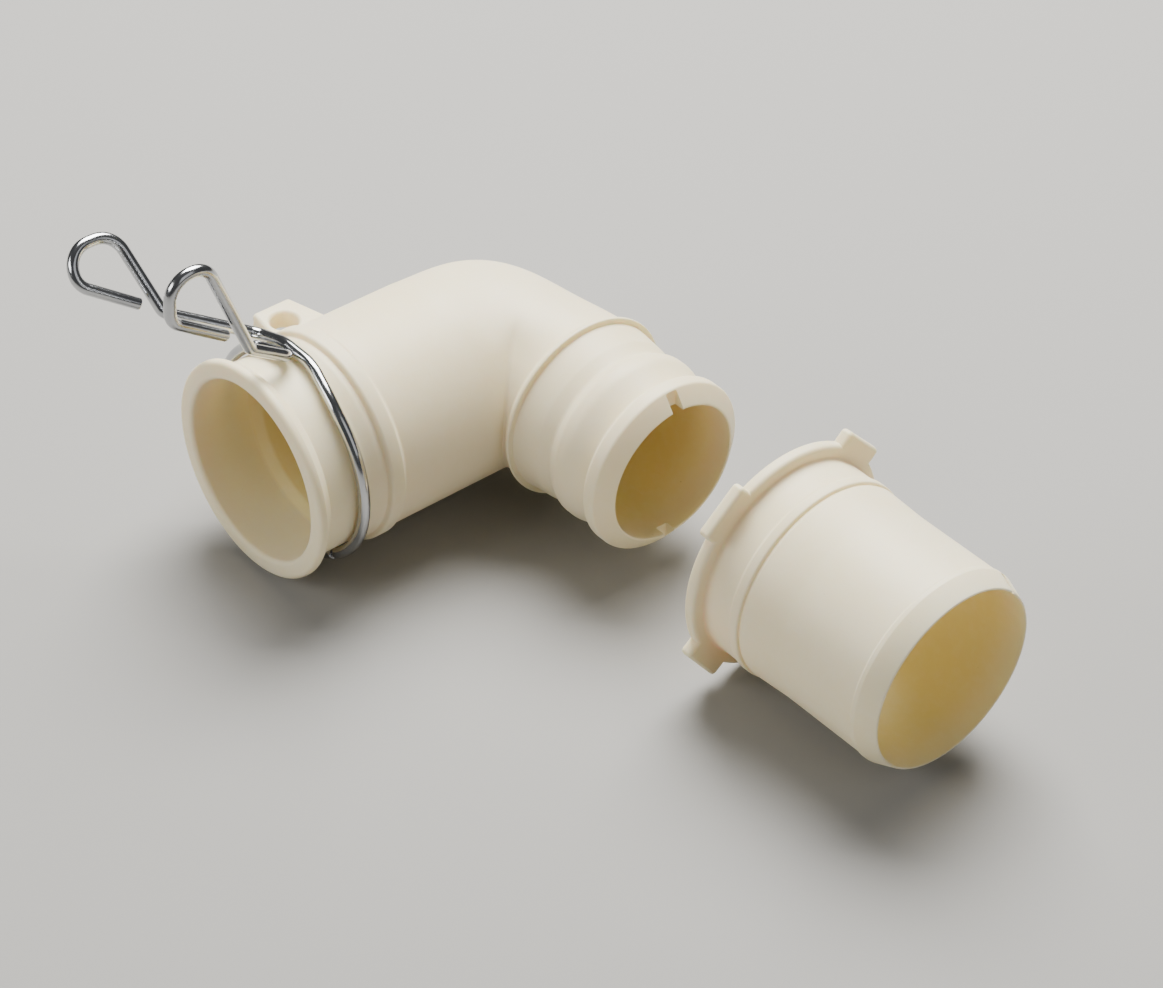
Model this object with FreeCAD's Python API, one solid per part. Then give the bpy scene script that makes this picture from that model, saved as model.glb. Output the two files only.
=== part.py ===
import FreeCAD, Part
import math
import os

# A soft elbow for a 40 mm hose, with a wire spring clamp on its socket and a loose sleeve
# that stands in line with its spout. Millimetres, +Z up. The origin is the middle of the
# socket's mouth. The socket limb runs along +Y and the spout limb along +X.

# Shared fits and corners
free_gap = 0.3
wall = 3.8
fine_corner = 0.2
corner = 0.5
soft_corner = 1.0

# Socket limb: distances along Y from the mouth, heights and depths from the limb's skin
limb_radius = 23.3
hose_step = 1.1
socket_depth = 15.0
socket_step_end = 17.5
lip_height = 1.5
lip_flat_end = 1.8
lip_end = 3.9
lip_back_depth = 0.1
neck_depth = 1.1
neck_start = 4.4
neck_end = 14.8
shoulder_depth = 0.4
shoulder_start = 17.5
band_height = 0.8
band_start = 19.0
band_rise = 0.4
band_end = 22.6
band_fall = 0.9
bend_y = 70.0

# Spout limb: distances along X from its root, heights and depths from its skin
spout_radius = 20.0
spout_grip = 0.3
bead_start = 0.3
bead_rise = 1.1
bead_end = 2.8
bead_height = 1.8
taper_end = 9.5
taper_depth = 0.4
waist = 12.8
waist_depth = 1.4
bulge_start = 15.4
bulge_end = 18.0
tip_neck_start = 23.4
tip_neck_end = 24.4
tip_neck_depth = 2.1
tip_lip_start = 25.2
tip_lip_end = 28.9
tip_land = 0.4
spout_length = 31.3
tip_notch_width = 3.0
tip_notch_depth = 2.6

# Bend between the limbs, drawn through sections that fan out from its inner corner
bend_corner = 0.5
bend_swell = 2.4
bend_lean = 1.4
bend_taper_power = 1.3
bend_steps = 6

# Ear on the side of the socket limb
ear_top = 15.0
ear_thickness = 4.5
ear_reach = 5.3
ear_front_reach = 6.3
ear_front = 20.2
ear_back = 32.3
ear_flare_back = 34.5
ear_front_corner = 2.5
ear_back_corner = 1.5
ear_edge = 0.9
ear_hole_radius = 3.1
ear_hole_inset = 1.6
ear_hole_y = 25.8

# Clamp wire, angles about the socket limb from +X towards +Z
wire_radius = 1.3
ring_y = 12.0
pivot_angle = -52.0
near_angle = 89.5
near_top_y = 11.0
near_corner_y = 11.2
near_raise = 8.0
far_angle = 127.0
far_ring_end = 50.0
foot_corner = 3.0

# Corners of each handle in its own plane: height above the ring's centre line, distance
# along Y, and the radius the wire is bent to there
near_handle = [
    (8.0, 1.0, 3.0),
    (33.2, -9.2, 5.0),
    (33.2, -17.9, 5.0),
    (23.4, -18.2, 4.5),
    (14.1, -4.9, 0.0),
]
far_handle = [
    (13.8, -4.3, 2.5),
    (33.1, -8.1, 5.5),
    (33.1, -19.7, 5.5),
    (25.5, -19.7, 4.0),
    (17.3, -8.5, 0.0),
]

# Corners of the far wire where it slides behind the near one, over the top of the ring:
# angle, height above the ring's centre line, distance along Y and bend radius
far_crossing = [
    (60.0, 0.4, 12.2, 14.0),
    (81.0, 0.5, 13.9, 14.0),
    (104.0, 0.7, 14.2, 14.0),
    (far_angle, 1.5, 14.8, foot_corner),
]

# Sleeve: distances along X from its flange, heights and depths from its collar's skin
sleeve_gap = 31.7
sleeve_length = 50.3
collar_wall = 2.4
flange_height = 3.0
flange_thickness = 3.0
lug_angles = (45.0, 132.0, 219.0, 315.0)
lug_width = 12.6
lug_height = 5.6
collar_end = 10.2
step_rise_end = 10.8
step_end = 12.9
step_height = 0.4
groove_depth = 0.4
groove_end = 13.8
sleeve_taper_end = 23.2
sleeve_taper_depth = 0.5
rim_ridge_start = 44.4
rim_ridge_rise_end = 44.8
rim_ridge_end = 45.7
rim_ridge_depth = 0.3
rim_notch_angles = (45.0, 225.0)
rim_notch_width = 1.2
rim_notch_depth = 1.0
rim_notch_lap = 0.3

# Sizes that follow from those above
hose_radius = limb_radius - wall + hose_step
neck_radius = limb_radius - neck_depth
ring_radius = neck_radius + free_gap + wire_radius
bore_radius = spout_radius - wall
grip_radius = spout_radius + spout_grip
ear_middle = ear_top - ear_thickness / 2
ear_root_x = math.sqrt((limb_radius - wall / 2) ** 2 - ear_middle ** 2)
ear_tip_x = limb_radius + ear_reach
ear_front_tip_x = limb_radius + ear_front_reach
ear_hole_x = limb_radius - ear_hole_inset
spout_root_x = limb_radius + bend_corner
spout_tip_x = spout_root_x + spout_length
socket_limb_end = bend_y - spout_radius - bend_corner
sleeve_x = spout_tip_x + sleeve_gap
sleeve_bore_radius = grip_radius + free_gap
collar_radius = sleeve_bore_radius + collar_wall
sleeve_radius = collar_radius - sleeve_taper_depth
rim_ridge_radius = collar_radius - rim_ridge_depth
rim_radius = sleeve_bore_radius + tip_land

axis_x = FreeCAD.Vector(1, 0, 0)
axis_y = FreeCAD.Vector(0, 1, 0)
axis_z = FreeCAD.Vector(0, 0, 1)
mouth = FreeCAD.Vector(0, 0, 0)
spout_root = FreeCAD.Vector(spout_root_x, bend_y, 0)
sleeve_mouth = FreeCAD.Vector(sleeve_x, bend_y, 0)


def rounded_edges(corners, closed):
    """Straight runs between corners (point, radius), each corner turned into a tangent arc."""
    count = len(corners)
    turns = []
    for index, (point, radius) in enumerate(corners):
        open_end = not closed and index in (0, count - 1)
        if radius == 0 or open_end:
            turns.append((point, point, None))
            continue
        back = (corners[index - 1][0] - point).normalize()
        ahead = (corners[(index + 1) % count][0] - point).normalize()
        half_angle = back.getAngle(ahead) / 2
        reach = radius / math.tan(half_angle)
        to_arc = radius / math.sin(half_angle) - radius
        middle = point + (back + ahead).normalize() * to_arc
        turns.append((point + back * reach, point + ahead * reach, middle))
    edges = []
    for index, (start, end, middle) in enumerate(turns):
        if middle is not None:
            edges.append(Part.Arc(start, middle, end).toShape())
        if index == count - 1 and not closed:
            break
        following = turns[(index + 1) % count][0]
        if end.distanceToPoint(following) > 1e-6:
            edges.append(Part.LineSegment(end, following).toShape())
    return edges


def turned(outline, origin, axis):
    """Hollow solid of revolution from a ring of (along, radius, corner radius) points."""
    corners = [(origin + axis * along + axis_z * out, turn) for along, out, turn in outline]
    face = Part.Face(Part.Wire(rounded_edges(corners, True)))
    return face.revolve(origin, axis, 360)


def bend_section(turn, inset):
    """Oval across the bend, turn degrees round from the socket limb, shrunk by inset."""
    angle = math.radians(turn)
    taper = math.sin(angle) ** bend_taper_power
    half_height = limb_radius + (spout_radius - limb_radius) * taper
    lean = 1 + bend_lean * math.cos(2 * angle)
    half_width = half_height + bend_swell * lean * math.sin(2 * angle) ** 2
    reach = half_width + bend_corner
    shape = FreeCAD.Matrix()
    shape.scale(half_width - inset, 1, half_height - inset)
    shape.rotateZ(-angle)
    shape.move(FreeCAD.Vector(
        spout_root_x - reach * math.cos(angle),
        socket_limb_end + reach * math.sin(angle),
        0,
    ))
    circle = Part.Circle(mouth, axis_y, 1).toShape()
    return Part.Wire(circle.transformGeometry(shape))


def bend_side(inset):
    """Side face of the bend, without its two flat ends."""
    sections = []
    for step in range(bend_steps + 1):
        sections.append(bend_section(90.0 * step / bend_steps, inset))
    return Part.makeLoft(sections, False, False).Faces[0]


def socket_limb():
    lip_radius = limb_radius + lip_height
    shoulder_radius = limb_radius - shoulder_depth
    band_radius = limb_radius + band_height
    tube = turned([
        (0, lip_radius, soft_corner),
        (lip_flat_end, lip_radius, soft_corner),
        (lip_end, limb_radius - lip_back_depth, corner),
        (neck_start, neck_radius, fine_corner),
        (neck_end, neck_radius, corner),
        (shoulder_start, shoulder_radius, corner),
        (band_start, shoulder_radius, fine_corner),
        (band_start + band_rise, band_radius, corner),
        (band_end, band_radius, corner),
        (band_end + band_fall, limb_radius, corner),
        (socket_limb_end, limb_radius, 0),
        (socket_limb_end, limb_radius - wall, 0),
        (socket_step_end, limb_radius - wall, 0),
        (socket_depth, hose_radius, 0),
        (0, hose_radius, 0),
    ], mouth, axis_y)
    return tube.fuse(ear()).cut(ear_hole())


def spout_limb():
    bead_radius = spout_radius + bead_height
    tip_neck_radius = spout_radius - tip_neck_depth
    tube = turned([
        (0, bore_radius, 0),
        (0, spout_radius, 0),
        (bead_start, spout_radius, fine_corner),
        (bead_start + bead_rise, bead_radius, corner),
        (bead_end, bead_radius, corner),
        (bead_end, grip_radius, 0),
        (taper_end, spout_radius - taper_depth, soft_corner),
        (waist, spout_radius - waist_depth, corner),
        (bulge_start, spout_radius, soft_corner),
        (bulge_end, spout_radius, soft_corner),
        (tip_neck_start, tip_neck_radius, fine_corner),
        (tip_neck_end, tip_neck_radius, fine_corner),
        (tip_lip_start, grip_radius, soft_corner),
        (tip_lip_end, grip_radius, soft_corner),
        (spout_length, bore_radius + tip_land, 0),
        (spout_length, bore_radius, 0),
    ], spout_root, axis_x)
    return tube.cut([tip_notch(1), tip_notch(-1)])


def ear():
    floor = ear_top - ear_thickness
    outline = [
        (-ear_root_x, ear_front, 0),
        (-ear_front_tip_x, ear_front, ear_front_corner),
        (-ear_tip_x, ear_back, ear_back_corner),
        (-ear_root_x, ear_flare_back, 0),
    ]
    corners = [(FreeCAD.Vector(x, y, floor), turn) for x, y, turn in outline]
    plate = Part.Face(Part.Wire(rounded_edges(corners, True))).extrude(axis_z * ear_thickness)
    outer_edges = []
    for edge in plate.Edges:
        level = edge.BoundBox.ZLength < 1e-6
        if level and edge.CenterOfMass.x < -ear_root_x - 1e-3:
            outer_edges.append(edge)
    return plate.makeFillet(ear_edge, outer_edges)


def ear_hole():
    floor = FreeCAD.Vector(-ear_hole_x, ear_hole_y, ear_top - ear_thickness)
    return Part.makeCylinder(ear_hole_radius, ear_thickness, floor, axis_z)


def tip_notch(side):
    bottom = 0 if side > 0 else -2 * spout_radius
    start = FreeCAD.Vector(spout_tip_x - tip_notch_depth, bend_y - tip_notch_width / 2, bottom)
    return Part.makeBox(2 * tip_notch_depth, tip_notch_width, 2 * spout_radius, start)


def elbow():
    """The two limbs and the bend's inner and outer sides, joined edge to edge."""
    faces = [bend_side(0), bend_side(wall)]
    for face in socket_limb().Faces:
        if face.BoundBox.YMin < socket_limb_end - 1e-3:
            faces.append(face)
    for face in spout_limb().Faces:
        if face.BoundBox.XMax > spout_root_x + 1e-3:
            faces.append(face)
    shell = Part.makeShell(faces)
    shell.sewShape()
    return Part.Solid(shell)


def around(angle, radius, along):
    """Point about the socket limb's axis."""
    turn = math.radians(angle)
    return FreeCAD.Vector(radius * math.cos(turn), along, radius * math.sin(turn))


def ring_arc(start, end, end_y):
    """Part of the ring, level with the others at start and leaning to end_y at its end."""
    middle = around((start + end) / 2, ring_radius, (ring_y + end_y) / 2)
    first = around(start, ring_radius, ring_y)
    last = around(end, ring_radius, end_y)
    return Part.Arc(first, middle, last).toShape()


def wire_along(edges, start, direction):
    circle = Part.Circle(start, direction, wire_radius).toShape()
    return Part.Wire(edges).makePipeShell([Part.Wire(circle)], True, False)


def clamp_seat():
    """Half of the clamp that goes round the left side and carries the near handle."""
    seat_gap = math.degrees((wire_radius + free_gap) / ring_radius)
    ring_start = 360 + pivot_angle - seat_gap
    lift_angle = math.degrees(math.atan(near_raise / ring_radius))
    ring_end = near_angle + lift_angle
    raised = math.hypot(ring_radius, near_raise)
    corners = [
        (around(ring_end, ring_radius, near_top_y), 0),
        (around(near_angle, raised, near_corner_y), foot_corner),
    ]
    for lift, along, turn in near_handle:
        corners.append((around(near_angle, ring_radius + lift, along), turn))
    edges = [ring_arc(ring_start, ring_end, near_top_y)] + rounded_edges(corners, False)
    start = around(ring_start, ring_radius, ring_y)
    return wire_along(edges, start, around(ring_start + 90, 1, 0))


def clamp_swing():
    """Half of the clamp that goes round the right side and carries the far handle."""
    corners = [(around(far_ring_end, ring_radius, ring_y), 0)]
    for angle, lift, along, turn in far_crossing:
        corners.append((around(angle, ring_radius + lift, along), turn))
    for lift, along, turn in far_handle:
        corners.append((around(far_angle, ring_radius + lift, along), turn))
    edges = [ring_arc(pivot_angle, far_ring_end, ring_y)] + rounded_edges(corners, False)
    start = around(pivot_angle, ring_radius, ring_y)
    wire = wire_along(edges, start, around(pivot_angle + 90, 1, 0))
    return wire.fuse(Part.makeSphere(wire_radius, start))


def lug(angle):
    reach = collar_radius + lug_height
    corners = []
    for across, out, turn in (
        (-lug_width / 2, collar_radius, 0),
        (lug_width / 2, collar_radius, 0),
        (lug_width / 2, reach, soft_corner),
        (-lug_width / 2, reach, soft_corner),
    ):
        corners.append((sleeve_mouth + axis_y * out + axis_z * across, turn))
    plate = Part.Face(Part.Wire(rounded_edges(corners, True))).extrude(axis_x * flange_thickness)
    return plate.rotated(sleeve_mouth, axis_x, angle)


def rim_notch(angle):
    """Slot of even depth along the sloping rim, from the ridge to the sleeve's end."""
    slope = math.atan2(rim_ridge_radius - rim_radius, sleeve_length - rim_ridge_end)
    start = sleeve_mouth + axis_x * (rim_ridge_end - rim_notch_lap)
    start = start + axis_y * (rim_ridge_radius - rim_notch_depth) - axis_z * (rim_notch_width / 2)
    length = sleeve_length - rim_ridge_start
    slot = Part.makeBox(length, 3 * rim_notch_depth, rim_notch_width, start)
    slot = slot.rotated(start, axis_z, -math.degrees(slope))
    return slot.rotated(sleeve_mouth, axis_x, angle)


def adapter():
    flange_radius = collar_radius + flange_height
    step_radius = collar_radius + step_height
    body = turned([
        (0, sleeve_bore_radius, 0),
        (0, flange_radius, corner),
        (flange_thickness, flange_radius, corner),
        (flange_thickness, collar_radius, corner),
        (collar_end, collar_radius, 0),
        (step_rise_end, step_radius, fine_corner),
        (step_end, step_radius, fine_corner),
        (step_end, collar_radius - groove_depth, 0),
        (groove_end, collar_radius, fine_corner),
        (sleeve_taper_end, sleeve_radius, 0),
        (rim_ridge_start, sleeve_radius, 0),
        (rim_ridge_rise_end, rim_ridge_radius, fine_corner),
        (rim_ridge_end, rim_ridge_radius, fine_corner),
        (sleeve_length, rim_radius, 0),
        (sleeve_length, sleeve_bore_radius, 0),
    ], sleeve_mouth, axis_x)
    notches = [rim_notch(angle) for angle in rim_notch_angles]
    return body.fuse([lug(angle) for angle in lug_angles]).cut(notches)


def write(name, shape):
    solid = shape.removeSplitter()
    if len(solid.Solids) != 1 or not solid.isValid():
        raise RuntimeError(name + " is not one sound solid")
    solid.Solids[0].exportStep("parts/" + name + ".step")


os.makedirs("parts", exist_ok=True)
write("elbow", elbow())
write("clamp_seat", clamp_seat())
write("clamp_swing", clamp_swing())
write("adapter", adapter())
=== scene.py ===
import math

import bmesh
import bpy
from bpy.props import FloatProperty, FloatVectorProperty, IntProperty, PointerProperty
from bpy.types import Operator, Panel, PropertyGroup
from mathutils import Matrix, Quaternion, Vector


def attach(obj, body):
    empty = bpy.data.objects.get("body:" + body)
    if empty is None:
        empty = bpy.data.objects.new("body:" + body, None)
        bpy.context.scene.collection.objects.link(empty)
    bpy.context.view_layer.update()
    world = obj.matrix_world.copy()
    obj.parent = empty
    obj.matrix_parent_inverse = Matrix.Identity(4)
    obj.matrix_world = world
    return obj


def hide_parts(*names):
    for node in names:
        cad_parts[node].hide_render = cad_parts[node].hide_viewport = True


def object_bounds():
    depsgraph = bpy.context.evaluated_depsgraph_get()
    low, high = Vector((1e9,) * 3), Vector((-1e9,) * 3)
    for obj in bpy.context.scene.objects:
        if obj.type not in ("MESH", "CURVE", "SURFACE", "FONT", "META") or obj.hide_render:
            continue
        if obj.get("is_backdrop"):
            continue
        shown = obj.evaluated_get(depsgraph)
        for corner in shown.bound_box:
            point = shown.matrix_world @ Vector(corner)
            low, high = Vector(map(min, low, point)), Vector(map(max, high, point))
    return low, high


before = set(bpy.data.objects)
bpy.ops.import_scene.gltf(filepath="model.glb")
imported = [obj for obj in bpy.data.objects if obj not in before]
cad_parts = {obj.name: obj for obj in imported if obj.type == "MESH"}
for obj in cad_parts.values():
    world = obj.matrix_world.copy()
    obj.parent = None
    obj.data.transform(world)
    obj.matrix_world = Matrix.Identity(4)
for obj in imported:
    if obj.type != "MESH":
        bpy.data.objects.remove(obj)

bl_info = {
    "name": "Hose elbow with wire clamp and sleeve",
    "version": (1, 0, 0),
    "blender": (4, 5, 0),
    "location": "3D View > Sidebar > Hose elbow",
    "description": "Makes the moulded elbow, its spring wire clamp, its loose sleeve and a stage",
    "category": "Add Mesh",
}

MM = 0.001
# Radius of the small circle that a turned profile is swept along
SWEEP = 1.0 * MM
# The spout's centre line runs along +X at this distance from the socket's mouth
BEND_Y = 70.0


# Sizes and colours

class PlasticSettings(PropertyGroup):
    ivory: FloatVectorProperty(
        name="Ivory", description="Colour of the moulded skin",
        subtype="COLOR", size=3, min=0, max=1, default=(0.91, 0.80, 0.56))
    # Painted shade: a darker, warmer colour painted deep in the bores in place of their shade and the warm
    # light through the thin wall; the skin's random warm clouds use it too
    bore_shade_and_cloud: FloatVectorProperty(
        name="Depth tint", description="Warmer colour that shows deep in the bores",
        subtype="COLOR", size=3, min=0, max=1, default=(0.84, 0.72, 0.34))
    roughness: FloatProperty(
        name="Roughness", description="Sheen of the soft skin",
        default=0.46, min=0, max=1, subtype="FACTOR")
    grain: FloatProperty(
        name="Grain", description="Width of one grain left by the mould",
        default=0.00045, min=0.0001, max=0.003, unit="LENGTH")
    steps: IntProperty(
        name="Steps round", description="Faces round each turned piece",
        default=160, min=32, max=256)


class ClampSettings(PropertyGroup):
    wire: FloatProperty(
        name="Wire", description="Diameter of the spring wire",
        default=0.0026, min=0.001, max=0.005, unit="LENGTH")
    ring: FloatProperty(
        name="Ring", description="Radius of the ring to the middle of the wire",
        default=0.0238, min=0.01, max=0.05, unit="LENGTH")
    metal: FloatVectorProperty(
        name="Metal", description="Colour of the bright plated wire",
        subtype="COLOR", size=3, min=0, max=1, default=(0.47, 0.48, 0.50))
    roughness: FloatProperty(
        name="Roughness", description="Polish of the wire",
        default=0.12, min=0, max=1, subtype="FACTOR")


class StageSettings(PropertyGroup):
    floor: FloatVectorProperty(
        name="Floor", description="Colour of the plain floor",
        subtype="COLOR", size=3, min=0, max=1, default=(0.34, 0.335, 0.32))
    azimuth: FloatProperty(
        name="Azimuth", description="Where the camera stands round the object",
        default=math.radians(47.22), subtype="ANGLE")
    elevation: FloatProperty(
        name="Elevation", description="How far the camera looks down",
        default=math.radians(39.33), subtype="ANGLE")
    roll: FloatProperty(
        name="Roll", description="Tilt of the camera about its own line of sight",
        default=math.radians(3.0), subtype="ANGLE")
    distance: FloatProperty(
        name="Distance", description="From the camera to the point it looks at",
        default=0.6955, min=0.1, max=5, unit="LENGTH")
    lens: FloatProperty(
        name="Lens", description="Focal length in millimetres for a 36 mm sensor",
        default=103.2, min=10, max=300)


# Ways into a bore, in metres, between which the painted bore shade comes up
SHADE_DEPTHS = (0.002, 0.024)
# Drawing lines of the wire for each metre across it and along it
LINES_ACROSS = 6000.0
LINES_ALONG = 60.0


# Node trees

def link(tree, source, target):
    tree.links.new(source, target)


def add(tree, kind, **values):
    node = tree.nodes.new(kind)
    for name, value in values.items():
        setattr(node, name, value)
    return node


def feed(tree, socket, value):
    """Links another socket to this one, or sets this one to a plain value."""
    if isinstance(value, bpy.types.NodeSocket):
        link(tree, value, socket)
    else:
        socket.default_value = value


def maths(tree, operation, first, second, clamp=False):
    node = add(tree, "ShaderNodeMath", operation=operation, use_clamp=clamp)
    feed(tree, node.inputs[0], first)
    feed(tree, node.inputs[1], second)
    return node.outputs[0]


def remap(tree, value, low, high):
    """Soft step from 0 at low to 1 at high."""
    node = add(tree, "ShaderNodeMapRange", interpolation_type="SMOOTHSTEP")
    link(tree, value, node.inputs["Value"])
    node.inputs["From Min"].default_value = low
    node.inputs["From Max"].default_value = high
    return node.outputs["Result"]


def mixed(tree, factor, first, second):
    """Colour between two colours; a mix node's colour sockets have no names of their own."""
    node = add(tree, "ShaderNodeMix", data_type="RGBA")
    for index, value in ((0, factor), (6, first), (7, second)):
        feed(tree, node.inputs[index], value)
    return node.outputs[2]


def noise(tree, place, scale, detail=2.0, rough=0.5):
    node = add(tree, "ShaderNodeTexNoise")
    link(tree, place, node.inputs["Vector"])
    feed(tree, node.inputs["Scale"], scale)
    node.inputs["Detail"].default_value = detail
    node.inputs["Roughness"].default_value = rough
    return node.outputs["Fac"]


def group_of(name, inputs, outputs):
    tree = bpy.data.node_groups.new(name, "ShaderNodeTree")
    for label, kind, value in inputs:
        socket = tree.interface.new_socket(label, in_out="INPUT", socket_type=kind)
        if value is not None:
            socket.default_value = value
    for label, kind in outputs:
        tree.interface.new_socket(label, in_out="OUTPUT", socket_type=kind)
    return tree, add(tree, "NodeGroupInput"), add(tree, "NodeGroupOutput")


def moulded_skin():
    """Colour, roughness and height of a soft moulded skin: clouds, mottle, fine grain and specks, with
    painted shade deep in the bores.
    """
    name = "Moulded skin"
    if name in bpy.data.node_groups:
        return bpy.data.node_groups[name]
    tree, given, out = group_of(name, [
        ("Place", "NodeSocketVector", None),
        ("Colour", "NodeSocketColor", (0.8, 0.75, 0.6, 1)),
        ("Depth tint", "NodeSocketColor", (0.7, 0.6, 0.3, 1)),
        ("Depth", "NodeSocketFloat", 0.0),
        ("Grains per metre", "NodeSocketFloat", 2000.0),
        ("Roughness", "NodeSocketFloat", 0.5),
    ], [
        ("Colour", "NodeSocketColor"),
        ("Roughness", "NodeSocketFloat"),
        ("Height", "NodeSocketFloat"),
    ])
    place = given.outputs["Place"]
    cloud = noise(tree, place, 38.0, 3.0)
    mottle = noise(tree, place, 420.0, 3.0, 0.6)
    grain = noise(tree, place, given.outputs["Grains per metre"], 2.0)
    specks = noise(tree, place, 900.0, 1.0)
    warm = maths(tree, "MULTIPLY", remap(tree, cloud, 0.35, 0.70), 0.22)
    # Painted shade: the colour goes over to the bore shade colour as the Depth input rises; random warm
    # clouds then mix in the same colour
    tint = mixed(tree, given.outputs["Depth"], given.outputs["Colour"], given.outputs["Depth tint"])
    tone = mixed(tree, warm, tint, given.outputs["Depth tint"])
    pale = maths(tree, "MULTIPLY", remap(tree, mottle, 0.42, 0.68), 0.10)
    tone = mixed(tree, pale, tone, (0.94, 0.88, 0.75, 1))
    speck = maths(tree, "MULTIPLY", remap(tree, specks, 0.80, 0.86), 0.35)
    tone = mixed(tree, speck, tone, (0.42, 0.33, 0.20, 1))
    link(tree, tone, out.inputs["Colour"])
    sheen = maths(tree, "MULTIPLY", maths(tree, "SUBTRACT", cloud, 0.5), 0.22)
    fine = maths(tree, "MULTIPLY", maths(tree, "SUBTRACT", mottle, 0.5), 0.14)
    rough = maths(tree, "ADD", given.outputs["Roughness"], maths(tree, "ADD", sheen, fine), clamp=True)
    link(tree, rough, out.inputs["Roughness"])
    height = maths(
        tree, "ADD", maths(tree, "MULTIPLY", grain, 0.35), maths(tree, "MULTIPLY", mottle, 0.65))
    link(tree, height, out.inputs["Height"])
    return tree


def handling():
    """Mask of fine rubs and scratches from handling, for any hard or soft surface."""
    name = "Handling marks"
    if name in bpy.data.node_groups:
        return bpy.data.node_groups[name]
    tree, given, out = group_of(name, [
        ("Place", "NodeSocketVector", None),
        ("Marks per metre", "NodeSocketFloat", 160.0),
        ("Amount", "NodeSocketFloat", 0.5),
    ], [("Mask", "NodeSocketFloat")])
    stretch = add(tree, "ShaderNodeMapping")
    stretch.inputs["Rotation"].default_value = (0.4, 0.9, 0.3)
    stretch.inputs["Scale"].default_value = (1.0, 9.0, 5.0)
    link(tree, given.outputs["Place"], stretch.inputs["Vector"])
    lines = noise(tree, stretch.outputs["Vector"], given.outputs["Marks per metre"], 4.0, 0.7)
    patches = noise(tree, given.outputs["Place"], 55.0, 2.0)
    mask = maths(tree, "MULTIPLY", remap(tree, lines, 0.55, 0.75), remap(tree, patches, 0.40, 0.65))
    link(tree, maths(tree, "MULTIPLY", mask, given.outputs["Amount"], clamp=True), out.inputs["Mask"])
    return tree


def placed_group(tree, group, **values):
    node = add(tree, "ShaderNodeGroup", node_tree=group)
    for name, value in values.items():
        feed(tree, node.inputs[name.replace("_", " ")], value)
    return node


def fresh_material(name):
    material = bpy.data.materials.new(name)
    material.use_nodes = True
    shader = material.node_tree.nodes["Principled BSDF"]
    return material, material.node_tree, shader


def set_sockets(node, values):
    for name, value in values.items():
        node.inputs[name].default_value = value


def surface_attribute(tree, name):
    return add(tree, "ShaderNodeAttribute", attribute_type="GEOMETRY", attribute_name=name)


def bumped(tree, shader, height, strength, distance):
    bump = add(tree, "ShaderNodeBump")
    set_sockets(bump, {"Strength": strength, "Distance": distance})
    link(tree, height, bump.inputs["Height"])
    link(tree, bump.outputs["Normal"], shader.inputs["Normal"])


def plastic_material(name, sizes):
    material, tree, shader = fresh_material(name)
    place = add(tree, "ShaderNodeTexCoord").outputs["Object"]
    # Painted shade: each point's way into a bore sets how much bore shade is painted on
    depth = remap(tree, surface_attribute(tree, "depth").outputs["Fac"], *SHADE_DEPTHS)
    skin = placed_group(
        tree, moulded_skin(), Place=place, Depth=depth,
        Colour=tuple(sizes.ivory) + (1,), Depth_tint=tuple(sizes.bore_shade_and_cloud) + (1,),
        Grains_per_metre=1 / sizes.grain, Roughness=sizes.roughness)
    rubs = placed_group(tree, handling(), Place=place, Marks_per_metre=150.0, Amount=0.5)
    tone = mixed(
        tree, maths(tree, "MULTIPLY", rubs.outputs[0], 0.25), skin.outputs["Colour"], (0.93, 0.87, 0.75, 1))
    link(tree, tone, shader.inputs["Base Color"])
    rough = maths(
        tree, "SUBTRACT", skin.outputs["Roughness"], maths(tree, "MULTIPLY", rubs.outputs[0], 0.10))
    link(tree, rough, shader.inputs["Roughness"])
    bumped(tree, shader, skin.outputs["Height"], 0.35, 0.08 * MM)
    set_sockets(shader, {
        "Subsurface Weight": 0.35, "Subsurface Radius": (1.0, 0.72, 0.36), "Subsurface Scale": 0.0035,
        "IOR": 1.47, "Specular IOR Level": 0.42,
    })
    return material


def wire_material(sizes):
    material, tree, shader = fresh_material("Bright plated wire")
    place = add(tree, "ShaderNodeTexCoord").outputs["Object"]
    split = add(tree, "ShaderNodeSeparateXYZ")
    link(tree, surface_attribute(tree, "side").outputs["Vector"], split.inputs[0])
    drawn = add(tree, "ShaderNodeCombineXYZ")
    for axis in "XY":
        link(tree, maths(tree, "MULTIPLY", split.outputs[axis], LINES_ACROSS), drawn.inputs[axis])
    along = surface_attribute(tree, "along").outputs["Fac"]
    link(tree, maths(tree, "MULTIPLY", along, LINES_ALONG), drawn.inputs["Z"])
    lines = noise(tree, drawn.outputs["Vector"], 1.0, 3.0, 0.6)
    cloud = noise(tree, place, 260.0, 3.0)
    rubs = placed_group(tree, handling(), Place=place, Marks_per_metre=420.0, Amount=0.8)
    tone = mixed(tree, remap(tree, cloud, 0.35, 0.7), tuple(sizes.metal) + (1,), (0.52, 0.53, 0.54, 1))
    tone = mixed(tree, maths(tree, "MULTIPLY", rubs.outputs[0], 0.5), tone, (0.42, 0.42, 0.41, 1))
    link(tree, tone, shader.inputs["Base Color"])
    rough = maths(tree, "ADD", sizes.roughness, maths(tree, "MULTIPLY", cloud, 0.08))
    rough = maths(tree, "ADD", rough, maths(tree, "MULTIPLY", rubs.outputs[0], 0.16), clamp=True)
    link(tree, rough, shader.inputs["Roughness"])
    bumped(tree, shader, lines, 0.25, 0.03 * MM)
    shader.inputs["Metallic"].default_value = 1.0
    return material


# Forming pieces from node trees and from rings of points

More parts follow.
